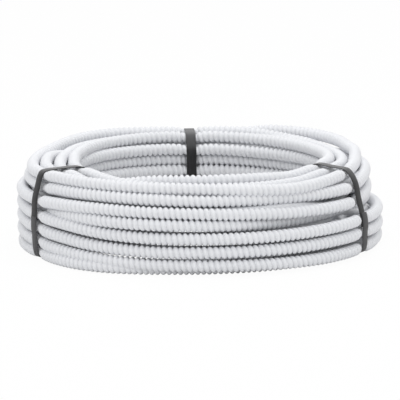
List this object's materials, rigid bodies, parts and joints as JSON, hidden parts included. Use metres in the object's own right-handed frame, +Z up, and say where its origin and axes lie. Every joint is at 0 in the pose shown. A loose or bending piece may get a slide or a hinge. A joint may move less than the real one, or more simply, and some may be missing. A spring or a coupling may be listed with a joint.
{
  "type": "flexible conduit coil",
  "caption": "Strapped coil of light grey ribbed flexible conduit, wound in level rows round an open eye and held by dark plastic straps.",
  "frame": {"origin": "on the floor under the middle of the coil's eye, level with the straps' undersides", "axes": "+Z up along the coil's axis, -Y towards the side seen first, +X to its right"},
  "size_m": [0.437, 0.4384, 0.1093],
  "materials": {
    "conduit": "semi-matte moulded plastic",
    "strap": "matte, with a fine lengthwise grain"
  },
  "bodies": {
    "root": {"conduit_coil": "conduit", "strap_back": "strap", "strap_left": "strap", "strap_right": "strap"}
  },
  "joints": []
}
